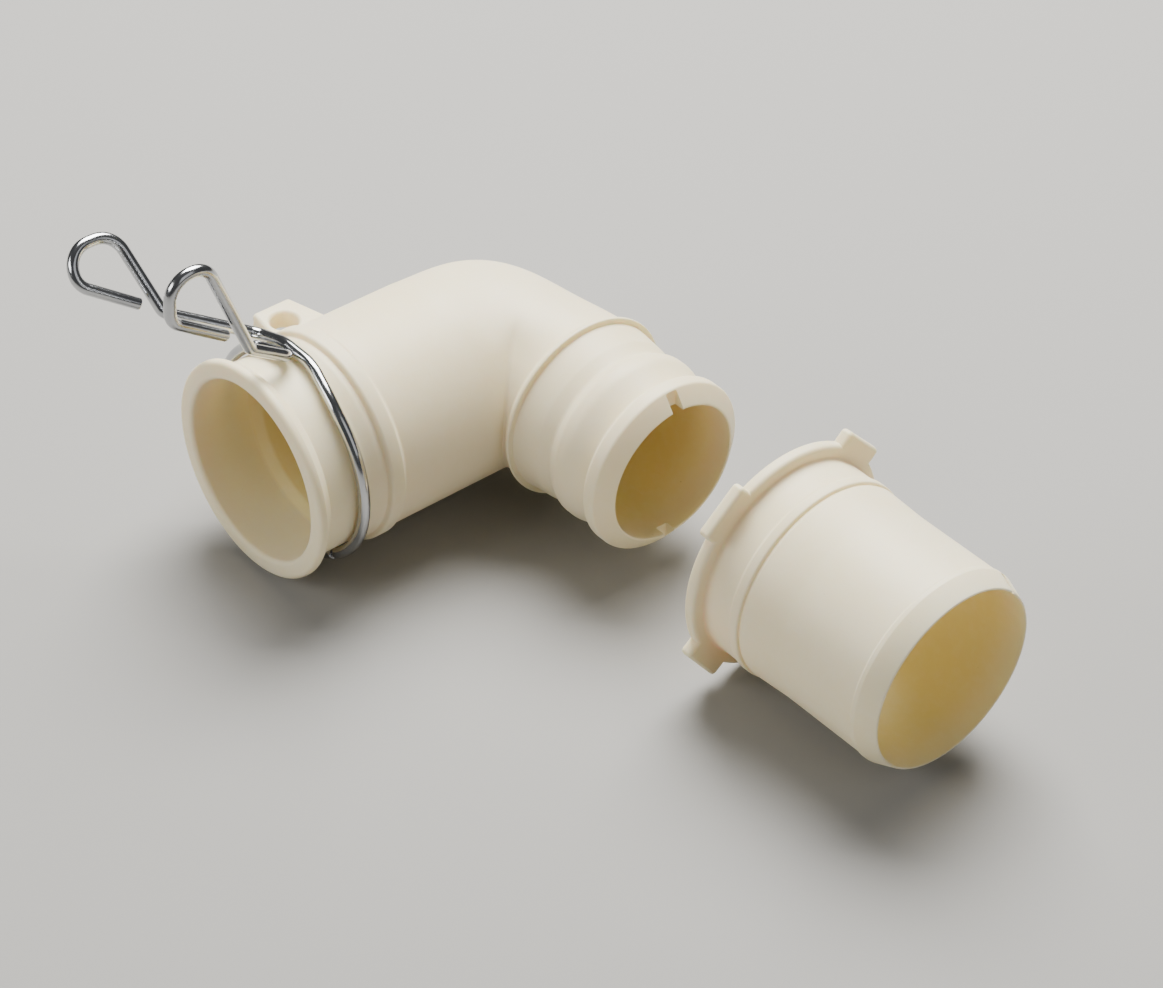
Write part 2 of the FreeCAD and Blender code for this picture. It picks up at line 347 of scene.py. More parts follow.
def geometry_tree(name, inputs):
    tree = bpy.data.node_groups.new(name, "GeometryNodeTree")
    tree.interface.new_socket("Geometry", in_out="INPUT", socket_type="NodeSocketGeometry")
    tree.interface.new_socket("Geometry", in_out="OUTPUT", socket_type="NodeSocketGeometry")
    for label, kind, value in inputs:
        socket = tree.interface.new_socket(label, in_out="INPUT", socket_type=kind)
        if value is not None:
            socket.default_value = value
    return tree, add(tree, "NodeGroupInput"), add(tree, "NodeGroupOutput")


def attribute(tree, name, kind="FLOAT"):
    node = add(tree, "GeometryNodeInputNamedAttribute", data_type=kind)
    node.inputs["Name"].default_value = name
    return node.outputs["Attribute"]


def rounded_chain(tree, given):
    """The starting mesh as a curve, each corner turned to the radius in its "turn" attribute."""
    chain = add(tree, "GeometryNodeMeshToCurve")
    link(tree, given.outputs["Geometry"], chain.inputs["Mesh"])
    fillet = add(tree, "GeometryNodeFilletCurve", mode="POLY")
    link(tree, chain.outputs["Curve"], fillet.inputs["Curve"])
    link(tree, given.outputs["Corner steps"], fillet.inputs["Count"])
    link(tree, attribute(tree, "turn"), fillet.inputs["Radius"])
    fillet.inputs["Limit Radius"].default_value = True
    return fillet.outputs["Curve"]


def finish_tree(tree, given, out, geometry):
    real = add(tree, "GeometryNodeRealizeInstances")
    link(tree, geometry, real.inputs["Geometry"])
    painted = add(tree, "GeometryNodeSetMaterial")
    link(tree, real.outputs["Geometry"], painted.inputs["Geometry"])
    link(tree, given.outputs["Material"], painted.inputs["Material"])
    link(tree, painted.outputs["Geometry"], out.inputs["Geometry"])
    return tree


def turned_skin(tree, given):
    """The profile swept round the Z axis: its X is the way outward and its Y the way down."""
    circle = add(tree, "GeometryNodeCurvePrimitiveCircle", mode="RADIUS")
    link(tree, given.outputs["Steps round"], circle.inputs["Resolution"])
    circle.inputs["Radius"].default_value = SWEEP
    skin = add(tree, "GeometryNodeCurveToMesh")
    link(tree, circle.outputs["Curve"], skin.inputs["Curve"])
    link(tree, rounded_chain(tree, given), skin.inputs["Profile Curve"])
    return skin.outputs["Mesh"]


TURNED_INPUTS = [
    ("Steps round", "NodeSocketInt", 160),
    ("Corner steps", "NodeSocketInt", 5),
    ("Material", "NodeSocketMaterial", None),
]


def turned_tree():
    """Node tree that turns a profile into a moulded limb."""
    name = "Turned limb"
    if name in bpy.data.node_groups:
        return bpy.data.node_groups[name]
    tree, given, out = geometry_tree(name, TURNED_INPUTS)
    return finish_tree(tree, given, out, turned_skin(tree, given))


def repeated(tree, given, kind, shape):
    """Copies of a shape round the Z axis, one at each loose point of that kind."""
    same = add(tree, "FunctionNodeCompare", data_type="INT", operation="EQUAL")
    link(tree, attribute(tree, "kind", "INT"), same.inputs[2])
    same.inputs[3].default_value = kind
    turn = add(tree, "ShaderNodeCombineXYZ")
    link(tree, attribute(tree, "angle"), turn.inputs["Z"])
    rotation = add(tree, "FunctionNodeEulerToRotation")
    link(tree, turn.outputs[0], rotation.inputs[0])
    source = add(tree, "GeometryNodeObjectInfo")
    link(tree, given.outputs[shape], source.inputs["Object"])
    copies = add(tree, "GeometryNodeInstanceOnPoints")
    link(tree, given.outputs["Geometry"], copies.inputs["Points"])
    link(tree, same.outputs[0], copies.inputs["Selection"])
    link(tree, source.outputs["Geometry"], copies.inputs["Instance"])
    link(tree, rotation.outputs[0], copies.inputs["Rotation"])
    real = add(tree, "GeometryNodeRealizeInstances")
    link(tree, copies.outputs["Instances"], real.inputs["Geometry"])
    return real.outputs["Geometry"]


def sleeve_tree():
    """Node tree that turns the sleeve, sets its lugs round the flange and cuts its rim."""
    name = "Turned sleeve"
    if name in bpy.data.node_groups:
        return bpy.data.node_groups[name]
    tree, given, out = geometry_tree(name, TURNED_INPUTS + [
        ("Lug", "NodeSocketObject", None),
        ("Rim notch", "NodeSocketObject", None),
    ])
    joined = add(tree, "GeometryNodeMeshBoolean", operation="UNION", solver="EXACT")
    link(tree, turned_skin(tree, given), joined.inputs["Mesh 2"])
    link(tree, repeated(tree, given, LUG_KIND, "Lug"), joined.inputs["Mesh 2"])
    cut = add(tree, "GeometryNodeMeshBoolean", operation="DIFFERENCE", solver="EXACT")
    link(tree, joined.outputs["Mesh"], cut.inputs["Mesh 1"])
    link(tree, repeated(tree, given, NOTCH_KIND, "Rim notch"), cut.inputs["Mesh 2"])
    return finish_tree(tree, given, out, cut.outputs["Mesh"])


def wire_tree():
    """Node tree that bends a wire along a chain of points and marks its drawn surface."""
    name = "Bent wire"
    if name in bpy.data.node_groups:
        return bpy.data.node_groups[name]
    tree, given, out = geometry_tree(name, [
        ("Wire radius", "NodeSocketFloat", 0.0013),
        ("Sides", "NodeSocketInt", 28),
        ("Corner steps", "NodeSocketInt", 14),
        ("Material", "NodeSocketMaterial", None),
    ])
    place = add(tree, "GeometryNodeSplineParameter")
    path = add(tree, "GeometryNodeStoreNamedAttribute", data_type="FLOAT", domain="POINT")
    path.inputs["Name"].default_value = "along"
    link(tree, rounded_chain(tree, given), path.inputs["Geometry"])
    link(tree, place.outputs["Length"], path.inputs["Value"])
    circle = add(tree, "GeometryNodeCurvePrimitiveCircle", mode="RADIUS")
    link(tree, given.outputs["Wire radius"], circle.inputs["Radius"])
    link(tree, given.outputs["Sides"], circle.inputs["Resolution"])
    side = add(tree, "GeometryNodeStoreNamedAttribute", data_type="FLOAT_VECTOR", domain="POINT")
    side.inputs["Name"].default_value = "side"
    position = add(tree, "GeometryNodeInputPosition")
    link(tree, circle.outputs["Curve"], side.inputs["Geometry"])
    link(tree, position.outputs[0], side.inputs["Value"])
    wire = add(tree, "GeometryNodeCurveToMesh")
    link(tree, path.outputs["Geometry"], wire.inputs["Curve"])
    link(tree, side.outputs["Geometry"], wire.inputs["Profile Curve"])
    link(tree, attribute(tree, "thick"), wire.inputs["Scale"])
    wire.inputs["Fill Caps"].default_value = True
    return finish_tree(tree, given, out, wire.outputs["Mesh"])


def started(name, points, closed=False):
    """Mesh of one chain of rows (point, corner radius, thickness) in metres."""
    mesh = bpy.data.meshes.new(name)
    count = len(points)
    edges = [(i, (i + 1) % count) for i in range(count if closed else count - 1)]
    mesh.from_pydata([p[0] for p in points], edges, [])
    for index, label in ((1, "turn"), (2, "thick")):
        values = mesh.attributes.new(label, "FLOAT", "POINT").data
        for item, point in zip(values, points):
            item.value = point[index] if len(point) > index else 1.0
    return mesh


def formed(mesh, tree, **values):
    """Plain mesh that a node tree makes from a starting mesh."""
    start = linked(mesh.name, mesh)
    modifier = start.modifiers.new(tree.name, "NODES")
    modifier.node_group = tree
    wanted = {name.replace("_", " "): value for name, value in values.items()}
    for item in tree.interface.items_tree:
        if item.in_out == "INPUT" and item.name in wanted:
            modifier[item.identifier] = wanted[item.name]
    graph = bpy.context.evaluated_depsgraph_get()
    result = bpy.data.meshes.new_from_object(start.evaluated_get(graph))
    bpy.data.objects.remove(start)
    if not result.polygons:
        raise RuntimeError(tree.name + " made nothing")
    return result


def profile(name, outline, closed):
    """Starting mesh for a turned piece from (along, radius, corner radius) in millimetres."""
    points = [((radius * MM - SWEEP, -along * MM, 0), turn * MM) for along, radius, turn in outline]
    return started(name, points, closed)


def linked(name, mesh):
    piece = bpy.data.objects.new(name, mesh)
    bpy.context.scene.collection.objects.link(piece)
    return piece


def mesh_of(shape, name):
    mesh = bpy.data.meshes.new(name)
    shape.to_mesh(mesh)
    shape.free()
    return mesh


def walled(shape, low, high):
    """Faces between two rings with the same count of points."""
    for i in range(len(low)):
        j = (i + 1) % len(low)
        shape.faces.new((low[i], low[j], high[j], high[i]))


def rounded_block(size, edge, steps):
    """Box of this size in millimetres about the origin with every edge rounded."""
    shape = bmesh.new()
    bmesh.ops.create_cube(shape, size=1.0, matrix=Matrix.Diagonal((Vector(size) * MM).to_4d()))
    bmesh.ops.bevel(shape, geom=shape.edges[:], offset=edge * MM, segments=steps, profile=0.5,
                    affect="EDGES", clamp_overlap=True)
    return mesh_of(shape, "block")


def moved(x, y, z):
    """Matrix that moves by this way in millimetres."""
    return Matrix.Translation((x * MM, y * MM, z * MM))


def placed(mesh, matrix):
    mesh.transform(matrix)
    return mesh


def smoothed(mesh, angle):
    mesh.shade_smooth()
    mesh.set_sharp_from_angle(angle=math.radians(angle))


def carved(piece, *steps):
    """Joins each (operation, mesh) to the piece or cuts it away, and gives the plain mesh."""
    tools = []
    for operation, mesh in steps:
        tool = linked("tool", mesh)
        tool.hide_render = True
        tools.append(tool)
        cut = piece.modifiers.new(operation, "BOOLEAN")
        cut.operation = operation
        cut.solver = "EXACT"
        cut.object = tool
    graph = bpy.context.evaluated_depsgraph_get()
    result = bpy.data.meshes.new_from_object(piece.evaluated_get(graph))
    piece.modifiers.clear()
    piece.data = result
    for tool in tools:
        bpy.data.objects.remove(tool)
    return result


def only_material(mesh, material):
    mesh.materials.clear()
    mesh.materials.append(material)
    mesh.polygons.foreach_set("material_index", [0] * len(mesh.polygons))


def check_closed(mesh):
    shape = bmesh.new()
    shape.from_mesh(mesh)
    open_edges = sum(1 for edge in shape.edges if not edge.is_manifold)
    shape.free()
    if open_edges:
        raise RuntimeError(f"{mesh.name} has {open_edges} open edges")


# Local Z of a turned piece laid along the part's Y or X axis
ALONG_Y = Matrix(((1, 0, 0, 0), (0, 0, 1, 0), (0, -1, 0, 0), (0, 0, 0, 1)))
ALONG_X = Matrix(((0, 0, 1, 0), (1, 0, 0, BEND_Y * MM), (0, 1, 0, 0), (0, 0, 0, 1)))


# Elbow

# Outer radii of the two limbs, the bend's wall and the radius of its inner corner
LIMB = 23.3
SPOUT = 20.0
WALL = 3.8
BEND_CORNER = 0.5
SOCKET_END = BEND_Y - SPOUT - BEND_CORNER
SPOUT_ROOT = LIMB + BEND_CORNER
SPOUT_TIP = SPOUT_ROOT + 31.3
# How soon the bend narrows to the spout, and how far it bulges between its ends
TAPER = 1.3
BULGE, BULGE_LEAN = 2.4, 1.4
# The valley inside the bend: how far its floor is rounded off at the half turn, and the share
# of the bend's height from which it fades into the swept crown
VALLEY_SOFT = 1.2
CROWN_START = 0.75
# Least sine or cosine that a way along a limb is divided by, and least width of the round-off
LEAST_TURN = 0.02
LEAST_SOFT = 0.001
# Skin nearer the axis than this lies in a bore
SOCKET_INSIDE = 21.2
SPOUT_INSIDE = 16.9
# The painted bore shade comes up slowly as far as the socket's inner step and faster beyond it
BORE_STEP = 15.0
SOCKET_SHADE = 0.45
STEP_SHADE = 1.1
SPOUT_SHADE = 2.0
# Rows of faces along the bend's skin and its bore
BEND_ROWS = 96
BORE_ROWS = 36
# Edges sharper than this many degrees stay sharp
SHARP_ANGLE = 32

# Rows of (distance from the mouth, radius, corner radius), out along the skin and back in the bore
SOCKET_PROFILE = [
    (SOCKET_END, LIMB, 0), (23.5, LIMB, 1.2), (22.6, 24.1, 0.8), (19.4, 24.1, 0.8),
    (19.0, 22.9, 0.35), (17.5, 22.9, 3.0), (14.8, 22.2, 3.0), (4.4, 22.2, 0.4),
    (3.9, 23.2, 0.6), (1.8, 24.8, 0.5), (0.0, 24.8, 1.1), (0.0, 20.6, 1.1),
    (BORE_STEP, 20.6, 2.5), (17.5, 19.5, 2.5), (SOCKET_END, 19.5, 0),
]
# The same for the spout, with distances from its root
SPOUT_PROFILE = [
    (0, 20.0, 0), (0.5, 20.1, 1.2), (1.9, 21.6, 1.0), (2.7, 21.6, 0.3), (2.75, 20.3, 0.25),
    (9.5, 19.6, 4.0), (12.8, 18.6, 1.6), (15.4, 20.0, 2.2), (18.0, 20.0, 5.0),
    (23.4, 17.9, 0.8), (24.4, 17.9, 0.5), (25.2, 20.3, 1.3), (28.5, 20.3, 0.9),
    (31.3, 16.6, 0.6), (31.3, 16.2, 0.3), (0, 16.2, 0),
]


def bend_oval(turn):
    """Middle, half width and half height of the bend at this turn from the socket limb."""
    height = LIMB + (SPOUT - LIMB) * math.sin(turn) ** TAPER
    width = height + BULGE * (1 + BULGE_LEAN * math.cos(2 * turn)) * math.sin(2 * turn) ** 2
    reach = width + BEND_CORNER
    middle = Vector((SPOUT_ROOT - reach * math.cos(turn), SOCKET_END + reach * math.sin(turn), 0))
    return middle, width, height


def soft_low(a, b, blend):
    """The lower of two values, rounded off where they come closer than blend."""
    near = max(blend - abs(a - b), 0)
    return min(a, b) - (near * near / (4 * blend) if near else 0)


def limb_way(turn, level, share):
    """Way from the bend's inner corner to the skins of the two limbs, which meet in a valley."""
    along_socket = SPOUT_ROOT - math.sqrt(LIMB ** 2 - level ** 2)
    along_spout = BEND_CORNER + SPOUT * (1 - math.sqrt(1 - share ** 2))
    return soft_low(
        along_socket / max(math.cos(turn), LEAST_TURN), along_spout / max(math.sin(turn), LEAST_TURN),
        VALLEY_SOFT * math.sin(2 * turn) + LEAST_SOFT)


def bend_ring(turn, inset, steps):
    """Points round the bend at this turn, in millimetres; the outer skin's have no inset."""
    middle, width, height = bend_oval(turn)
    outward = Vector((-math.cos(turn), math.sin(turn), 0))
    reach = width + BEND_CORNER
    ring = []
    for step in range(steps):
        angle = 2 * math.pi * step / steps
        share = math.sin(angle)
        level = (height - inset) * share
        way = reach - (width - inset) * math.cos(angle)
        if not inset and math.cos(angle) > 1e-6:
            rise = max((abs(share) - CROWN_START) / (1 - CROWN_START), 0)
            crown = rise * rise * (3 - 2 * rise)
            way = crown * way + (1 - crown) * limb_way(turn, level, share)
        ring.append(middle + outward * (way - reach) + Vector((0, 0, level)))
    return ring


def elbow_depth(point):
    """Strength of the painted bore shade at a point, as a way into the elbow's bore; none on the outer
    skin.
    """
    x, y, z = point / MM
    if x > SPOUT_ROOT:
        return SPOUT_SHADE * (SPOUT_TIP - x) if math.hypot(y - BEND_Y, z) < SPOUT_INSIDE else 0
    if y < SOCKET_END:
        tint = SOCKET_SHADE if y < BORE_STEP else STEP_SHADE
        return y * tint if math.hypot(x, z) < SOCKET_INSIDE else 0
    middle, width, height = bend_oval(math.atan2(y - SOCKET_END, SPOUT_ROOT - x))
    across = math.hypot(x - middle.x, y - middle.y) / (width - WALL / 2)
    inside = math.hypot(across, z / (height - WALL / 2)) < 1
    return SOCKET_END if inside else 0


def mark_depth(mesh, depth_of):
    """Stores each point's way into a bore, in metres, for the painted bore shade."""
    values = mesh.attributes.new("depth", "FLOAT", "POINT").data
    for vertex, item in zip(mesh.vertices, values):
        item.value = depth_of(vertex.co) * MM


def add_bend(shape, inset, rows, steps):
    before = None
    for row in range(rows + 1):
        ring = [shape.verts.new(p * MM) for p in bend_ring(math.pi / 2 * row / rows, inset, steps)]
        if before:
            walled(shape, before, ring)
        before = ring


def rounded(outline, steps):
    """Flat outline of (x, y, corner radius) with its corners turned."""
    points = []
    for i, (x, y, turn) in enumerate(outline):
        here = Vector((x, y))
        if not turn:
            points.append(here)
            continue
        back = (Vector(outline[i - 1][:2]) - here).normalized()
        ahead = (Vector(outline[(i + 1) % len(outline)][:2]) - here).normalized()
        half = back.angle(ahead) / 2
        centre = here + (back + ahead).normalized() * (turn / math.sin(half))
        first = here + back * (turn / math.tan(half)) - centre
        last = here + ahead * (turn / math.tan(half)) - centre
        for step in range(steps + 1):
            points.append(centre + first.slerp(last, step / steps))
    return points


# The ear's outline as (x, y, corner radius), its inner side hidden in the socket limb
EAR_ROOT = -17.2
EAR_OUTLINE = [
    (EAR_ROOT, 20.2, 0), (-29.6, 20.2, 2.5), (-28.6, 32.3, 1.8), (EAR_ROOT, 34.5, 0),
]
EAR_FLOOR = 10.5
EAR_TOP = 15.0
EAR_RIM = 0.9
EAR_HOLE = (-21.7, 25.8)
# Rows of (height, radius) of the pin that cuts the hole
EAR_HOLE_ROWS = [
    (9.9, 3.75), (10.5, 3.55), (10.6, 3.35), (10.8, 3.18), (11.1, 3.1), (14.1, 3.1),
    (14.4, 3.16), (14.65, 3.28), (14.85, 3.48), (14.97, 3.75), (15.02, 4.0), (15.6, 4.3),
]
EAR_HOLE_STEPS = 64


def ear_plate():
    """Flat ear on the side of the socket limb, its outer corners and rims rounded."""
    outline = rounded(EAR_OUTLINE, 8)
    shape = bmesh.new()
    low = [shape.verts.new((p.x * MM, p.y * MM, EAR_FLOOR * MM)) for p in outline]
    high = [shape.verts.new((p.x * MM, p.y * MM, EAR_TOP * MM)) for p in outline]
    shape.faces.new(low[::-1])
    shape.faces.new(high)
    walled(shape, low, high)
    bmesh.ops.recalc_face_normals(shape, faces=shape.faces)
    rims = []
    for edge in shape.edges:
        a, b = (v.co for v in edge.verts)
        if abs(a.z - b.z) < 1e-6 and min(a.x, b.x) < (EAR_ROOT - 0.1) * MM:
            rims.append(edge)
    bmesh.ops.bevel(shape, geom=rims, offset=EAR_RIM * MM, segments=5, profile=0.5, affect="EDGES")
    return mesh_of(shape, "ear")


def ear_hole_cutter():
    """Pin with flared ends, so that the hole's rims come out soft."""
    shape = bmesh.new()
    rings = []
    for z, radius in EAR_HOLE_ROWS:
        ring = []
        for step in range(EAR_HOLE_STEPS):
            angle = 2 * math.pi * step / EAR_HOLE_STEPS
            x = EAR_HOLE[0] + radius * math.cos(angle)
            y = EAR_HOLE[1] + radius * math.sin(angle)
            ring.append(shape.verts.new((x * MM, y * MM, z * MM)))
        rings.append(ring)
    for below, above in zip(rings, rings[1:]):
        walled(shape, below, above)
    shape.faces.new(rings[0][::-1])
    shape.faces.new(rings[-1])
    return mesh_of(shape, "ear hole")


def elbow_shell(steps, material):
    """Both limbs and the bend as one closed skin."""
    shape = bmesh.new()
    for name, rows, way in (
        ("socket", SOCKET_PROFILE, ALONG_Y),
        ("spout", SPOUT_PROFILE, moved(SPOUT_ROOT, 0, 0) @ ALONG_X),
    ):
        limb = formed(profile(name, rows, False), turned_tree(), Steps_round=steps, Material=material)
        shape.from_mesh(placed(limb, way))
    add_bend(shape, 0.0, BEND_ROWS, steps)
    add_bend(shape, WALL, BORE_ROWS, steps)
    bmesh.ops.remove_doubles(shape, verts=shape.verts, dist=0.01 * MM)
    bmesh.ops.recalc_face_normals(shape, faces=shape.faces)
    mesh = mesh_of(shape, "elbow shell")
    check_closed(mesh)
    return mesh


# Block that cuts the spout's two tip notches, from the axis outward
TIP_NOTCH = (5.2, 3.0, 40.0)


class HOSEELBOW_OT_elbow(Operator):
    """Makes the moulded elbow with its ear, tip notches and soft ivory skin"""
    bl_idname = "hose_elbow.make_elbow"
    bl_label = "Make the elbow"

    def execute(self, context):
        plastic = context.scene.elbow_plastic
        material = plastic_material("Ivory elbow plastic", plastic)
        piece = linked("elbow_moulding", elbow_shell(plastic.steps, material))
        steps = [("UNION", ear_plate()), ("DIFFERENCE", ear_hole_cutter())]
        for height in (TIP_NOTCH[2] / 2, -TIP_NOTCH[2] / 2):
            notch = placed(rounded_block(TIP_NOTCH, 0.35, 2), moved(SPOUT_TIP, BEND_Y, height))
            steps.append(("DIFFERENCE", notch))
        mesh = carved(piece, *steps)
        only_material(mesh, material)
        check_closed(mesh)
        mark_depth(mesh, elbow_depth)
        smoothed(mesh, SHARP_ANGLE)
        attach(piece, "elbow")
        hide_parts("elbow")
        return {"FINISHED"}


# Sleeve, distances along its axis from the flange

SLEEVE_X = 86.8
SLEEVE_END = 50.3
SLEEVE_BORE = 20.6
RIDGE, RIDGE_END = 22.7, 45.7
RIM = 21.0
# Rows of (distance, radius, corner radius), out along the skin and back in the bore, where the
# last four rows carry the painted bore shade
SLEEVE_PROFILE = [
    (0, SLEEVE_BORE, 0.5), (0, 26.0, 1.0), (3.0, 26.0, 1.0), (3.0, 23.0, 0.7), (10.2, 23.0, 1.0),
    (10.8, 23.4, 0.6), (12.9, 23.4, 0.5), (12.95, 22.6, 0.2), (13.8, 23.0, 0.5),
    (23.2, 22.5, 12.0), (44.4, 22.5, 0.6), (44.8, RIDGE, 0.4), (RIDGE_END, RIDGE, 0.8),
    (SLEEVE_END, RIM, 0.5), (SLEEVE_END, SLEEVE_BORE, 0.2), (46.0, SLEEVE_BORE, 0),
    (38.0, SLEEVE_BORE, 0), (12.0, SLEEVE_BORE, 0), (4.0, SLEEVE_BORE, 0),
]
# Skin nearer the axis than this lies in the bore, where the painted shade comes up by the rate below for
# each millimetre in
SLEEVE_INSIDE = 20.9
SLEEVE_SHADE = 2.4
# Loose points of these kinds carry the lugs and the rim notches
LUG_KIND, NOTCH_KIND = 1, 2
LUG_ANGLES = (45.0, 132.0, 219.0, 315.0)
NOTCH_ANGLES = (45.0, 225.0)
# Blocks for one lug, with its middle's way from the axis, and for one rim notch, with the radius
# and the distance at which it starts
LUG = (6.6, 12.6, 3.0)
LUG_MIDDLE = 25.3
RIM_NOTCH = (3.0, 1.2, 6.4)
NOTCH_START = (21.7, 45.4)


def sleeve_depth(point):
    """Strength of the painted bore shade at a point, as a way into the sleeve's bore from its nearer end.
    """
    x, y, z = point / MM
    nearer = min(x - SLEEVE_X, SLEEVE_X + SLEEVE_END - x)
    return SLEEVE_SHADE * nearer if math.hypot(y - BEND_Y, z) < SLEEVE_INSIDE else 0


def sleeve_start():
    """Profile loop and, as loose points, the angle of each lug and each rim notch."""
    mesh = profile("sleeve", SLEEVE_PROFILE, True)
    first = len(mesh.vertices)
    angles = [(LUG_KIND, a) for a in LUG_ANGLES] + [(NOTCH_KIND, a) for a in NOTCH_ANGLES]
    mesh.vertices.add(len(angles))
    mesh.attributes.new("kind", "INT", "POINT")
    mesh.attributes.new("angle", "FLOAT", "POINT")
    for index, (kind, angle) in enumerate(angles, first):
        mesh.vertices[index].co = (0, 0, 0)
        mesh.attributes["kind"].data[index].value = kind
        mesh.attributes["angle"].data[index].value = math.radians(angle)
    return mesh


class HOSEELBOW_OT_sleeve(Operator):
    """Turns the loose sleeve and gives it lugs, rim notches and the soft ivory skin"""
    bl_idname = "hose_elbow.make_sleeve"
    bl_label = "Make the sleeve"

    def execute(self, context):
        plastic = context.scene.elbow_plastic
        material = plastic_material("Ivory sleeve plastic", plastic)
        lug = linked("lug", placed(rounded_block(LUG, 0.95, 5), moved(LUG_MIDDLE, 0, LUG[2] / 2)))
        slope = math.atan2(RIDGE - RIM, SLEEVE_END - RIDGE_END)
        along_rim = moved(NOTCH_START[0], 0, NOTCH_START[1]) @ Matrix.Rotation(-slope, 4, "Y")
        notch = linked("notch", placed(
            rounded_block(RIM_NOTCH, 0.15, 2),
            along_rim @ moved(RIM_NOTCH[0] / 2, 0, RIM_NOTCH[2] / 2)))
        mesh = formed(sleeve_start(), sleeve_tree(), Steps_round=plastic.steps,
                      Material=material, Lug=lug, Rim_notch=notch)
        bpy.data.objects.remove(lug)
        bpy.data.objects.remove(notch)
        mesh.transform(moved(SLEEVE_X, 0, 0) @ ALONG_X)
        shape = bmesh.new()
        shape.from_mesh(mesh)
        bmesh.ops.remove_doubles(shape, verts=shape.verts, dist=0.002 * MM)
        bmesh.ops.recalc_face_normals(shape, faces=shape.faces)
        shape.to_mesh(mesh)
        shape.free()
        only_material(mesh, material)
        check_closed(mesh)
        mark_depth(mesh, sleeve_depth)
        smoothed(mesh, SHARP_ANGLE)
        piece = linked("sleeve_moulding", mesh)
        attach(piece, "adapter")
        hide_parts("adapter")
        return {"FINISHED"}


# Clamp, angles about the socket limb from +X towards +Z

RING_Y = 12.0
PIVOT = -52.0
NEAR, FAR = 89.5, 127.0
# The ring's place along the socket where the near wire leaves it, and the straight run from there
NEAR_Y = 11.0
NEAR_RUN = 8.0
# Where the far wire leaves the ring to cross the near one
FAR_LEAVES = 50.0
# Handles as rows of (height above the ring, place along the socket, corner radius)
NEAR_HANDLE = [
    (8.0, 1.0, 3.0), (33.2, -9.2, 5.0), (33.2, -17.9, 5.0), (23.4, -18.2, 4.5), (14.1, -4.9, 0),
]
FAR_HANDLE = [
    (13.8, -4.3, 2.5), (33.1, -8.1, 5.5), (33.1, -19.7, 5.5), (25.5, -19.7, 4.0), (17.3, -8.5, 0),
]
# Rows of (angle, height above the ring, place along the socket, corner radius)
FAR_CROSSING = [
    (60.0, 0.4, 12.2, 14.0), (81.0, 0.5, 13.9, 14.0), (104.0, 0.7, 14.2, 14.0), (FAR, 1.5, 14.8, 3.0),
]
HINGE_GAP = 0.3
NEAR_ARC_STEPS, FAR_ARC_STEPS = 72, 40
WIRE_SHARP_ANGLE = 50


def around(angle, radius, along):
    turn = math.radians(angle)
    return Vector((radius * math.cos(turn), along, radius * math.sin(turn)))


def arc(first, middle, last, steps):
    """Points on the circle through three points, from first to last."""
    a, b = middle - first, last - first
    normal = a.cross(b)
    centre = first + (normal.cross(a) * b.length_squared + b.cross(normal) * a.length_squared) \
        / (2 * normal.length_squared)
    start = first - centre
    axis = normal.normalized()
    sweep = start.angle(middle - centre) + (middle - centre).angle(last - centre)
    return [centre + Quaternion(axis, sweep * step / steps) @ start for step in range(steps + 1)]


def shaped_end(tip, inner, rows, wire):
    """Rows that end a wire: (way beyond the tip, thickness) as shares of its radius."""
    out = (tip - inner).normalized()
    return [(tip + out * (along * wire), 0, thick) for along, thick in rows]


def wire_chain(points, first_rows, last_rows, wire):
    """Rows (point, corner radius, thickness) of one wire in metres, with its two ends shaped."""
    first = shaped_end(points[0][0], points[1][0], first_rows, wire)
    last = shaped_end(points[-1][0], points[-2][0], last_rows, wire)
    chain = first[::-1] + [(p, turn, 1.0) for p, turn in points[1:-1]] + last
    return [(tuple(p * MM), turn * MM, thick) for p, turn, thick in chain]


# How a wire ends, for shaped_end: round at the hinge, cut and blunted elsewhere
BALL_END = [
    (math.sin(math.radians(a)), math.cos(math.radians(a))) for a in (0, 15, 30, 45, 60, 72, 82, 88)
]
CUT_END = [(-0.30, 1.0), (-0.16, 0.985), (-0.05, 0.93), (0.0, 0.83)]


def near_wire(ring, wire):
    """The near half, from the hinge round the socket's far side to the near handle."""
    gap = math.degrees((wire + HINGE_GAP) / ring)
    lift = math.degrees(math.atan(NEAR_RUN / ring))
    start, end = 360 + PIVOT - gap, NEAR + lift
    points = [(p, 0) for p in arc(
        around(start, ring, RING_Y), around((start + end) / 2, ring, (RING_Y + NEAR_Y) / 2),
        around(end, ring, NEAR_Y), NEAR_ARC_STEPS)]
    points.append((around(NEAR, math.hypot(ring, NEAR_RUN), NEAR_Y + 0.2), 3.0))
    for height, along, turn in NEAR_HANDLE:
        points.append((around(NEAR, ring + height, along), turn))
    return wire_chain(points, CUT_END, CUT_END, wire)


def far_wire(ring, wire):
    """The far half, from the hinge up the near side and over the near half to the far handle."""
    points = [(p, 0) for p in arc(
        around(PIVOT, ring, RING_Y), around((PIVOT + FAR_LEAVES) / 2, ring, RING_Y),
        around(FAR_LEAVES, ring, RING_Y), FAR_ARC_STEPS)]
    for angle, lift, along, turn in FAR_CROSSING:
        points.append((around(angle, ring + lift, along), turn))
    for height, along, turn in FAR_HANDLE:
        points.append((around(FAR, ring + height, along), turn))
    return wire_chain(points, BALL_END, CUT_END, wire)


